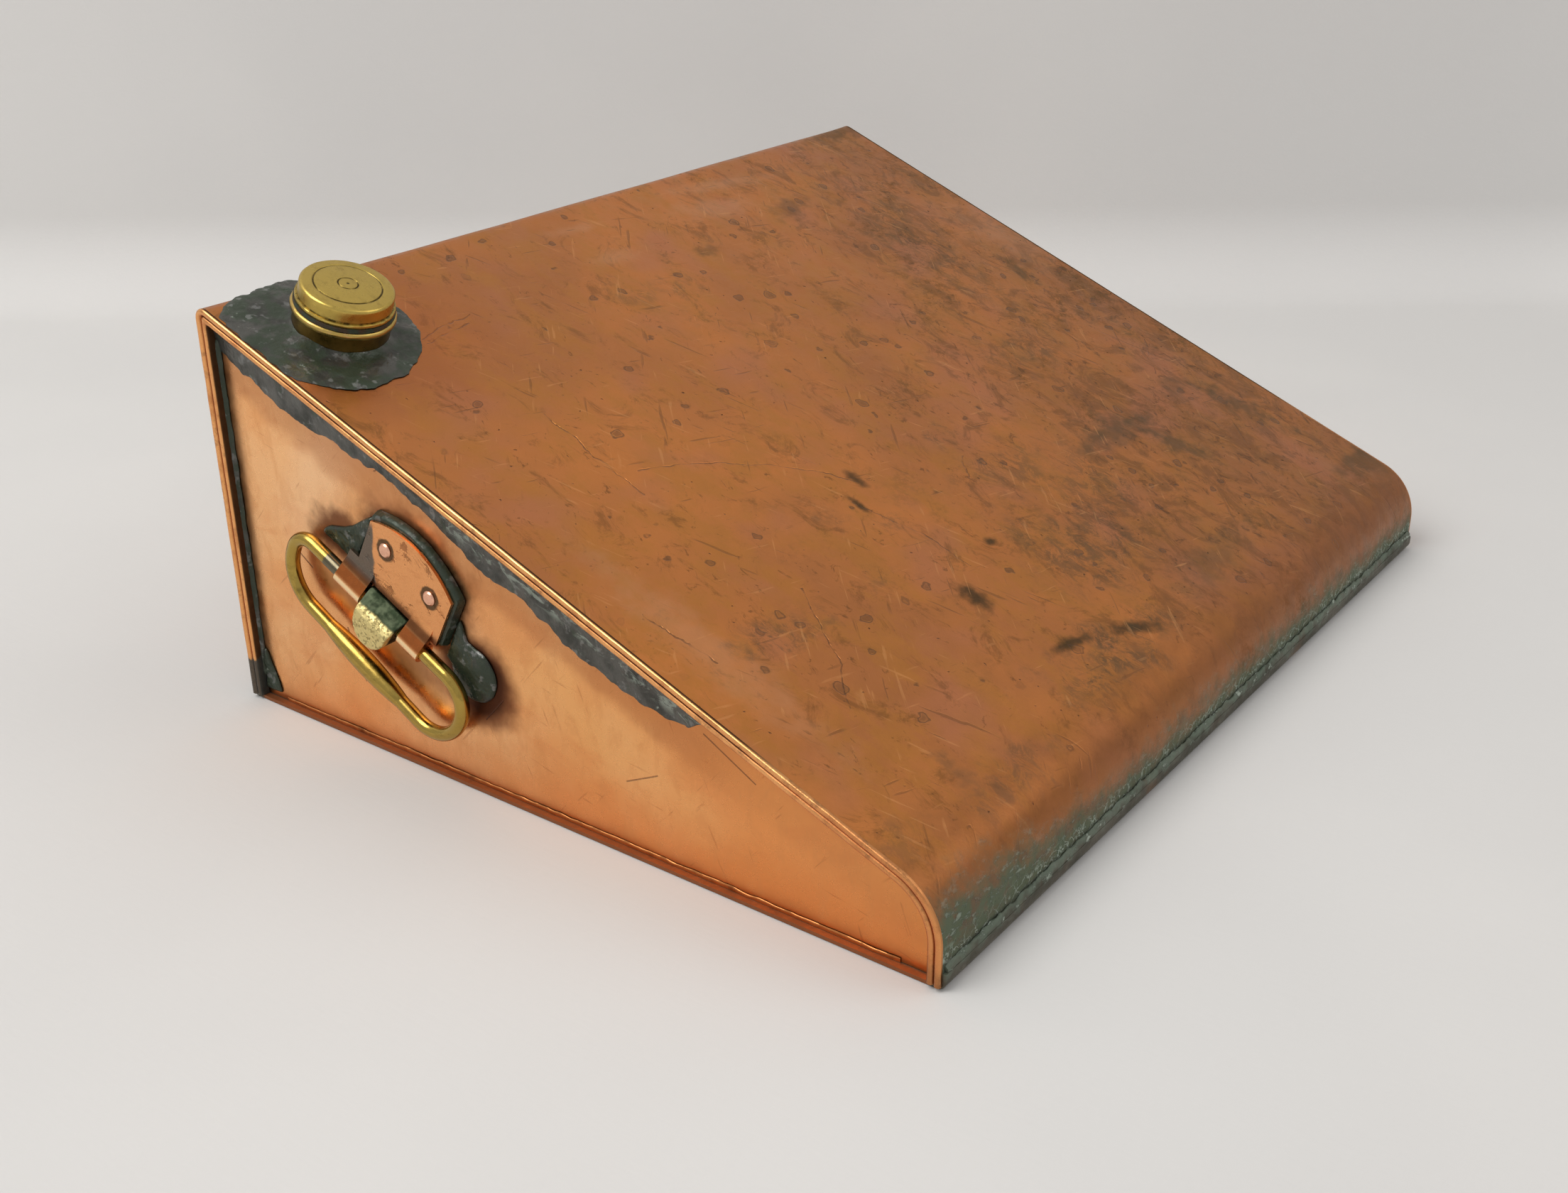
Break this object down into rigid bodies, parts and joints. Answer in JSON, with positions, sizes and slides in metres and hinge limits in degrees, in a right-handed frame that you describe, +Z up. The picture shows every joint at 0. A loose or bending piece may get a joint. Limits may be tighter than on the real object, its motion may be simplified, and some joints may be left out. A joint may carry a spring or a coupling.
{
  "type": "foot warmer",
  "caption": "Wedge-shaped copper hot-water foot warmer with a sloping foot rest, a screw stopper near the high corner and a swing bail on one end.",
  "frame": {"origin": "centre of the flat underside, midway between the end rims and between back and nose", "axes": "+X along the width, away from the handle end; +Y towards the tall back; +Z up"},
  "size_m": [0.3671, 0.286, 0.1514],
  "materials": {
    "copper_sheet": "aged copper sheet with brown patina, part polished",
    "brass": "worn brass, dark in the recesses",
    "solder": "dark grey soft solder with green verdigris",
    "leather": "dark oiled leather"
  },
  "bodies": {
    "tank": {"wrapper_sheet": "copper_sheet", "base_tray": "copper_sheet", "handle_end_panel": "copper_sheet", "plain_end_panel": "copper_sheet", "handle_end_rim_seam": "copper_sheet", "plain_end_rim_seam": "copper_sheet", "hinge_plate": "copper_sheet", "hinge_rivets": "copper_sheet", "handle_end_top_solder": "solder", "plain_end_top_solder": "solder", "handle_end_back_solder": "solder", "plain_end_back_solder": "solder", "handle_end_foot_solder": "solder", "plain_end_foot_solder": "solder", "handle_end_corner_solder": "solder", "plain_end_corner_solder": "solder", "front_lap_solder": "solder", "back_lap_solder": "solder", "neck_solder_apron": "solder", "bracket_solder_ear": "solder", "bracket_solder_lobe": "solder", "filler_neck": "brass", "handle_bracket": "brass", "hinge_stud": "brass"},
    "bail": {"bail": "brass"},
    "washer": {"stopper_washer": "leather"},
    "stopper": {"screw_stopper": "brass"}
  },
  "joints": [
    {"name": "bail_swing", "type": "hinge", "parent": "tank", "child": "bail", "pos_m": [-0.1805, 0.0648, 0.0537], "axis": [0, 0.8829, 0.4695], "range_deg": [0, 150]},
    {"name": "stopper_lift", "type": "slide", "parent": "tank", "child": "washer", "axis": [0, -0.3731, 0.9278], "range_m": [0, 0.008]},
    {"name": "stopper_turn", "type": "hinge", "parent": "washer", "child": "stopper", "pos_m": [-0.147, 0.11165, 0.12987], "axis": [0, -0.3731, 0.9278], "range_deg": [0, 1440]}
  ],
  "couplings": [
    {"joint": "stopper_turn", "follows": "stopper_lift", "rad_per_m": 3141.6}
  ]
}
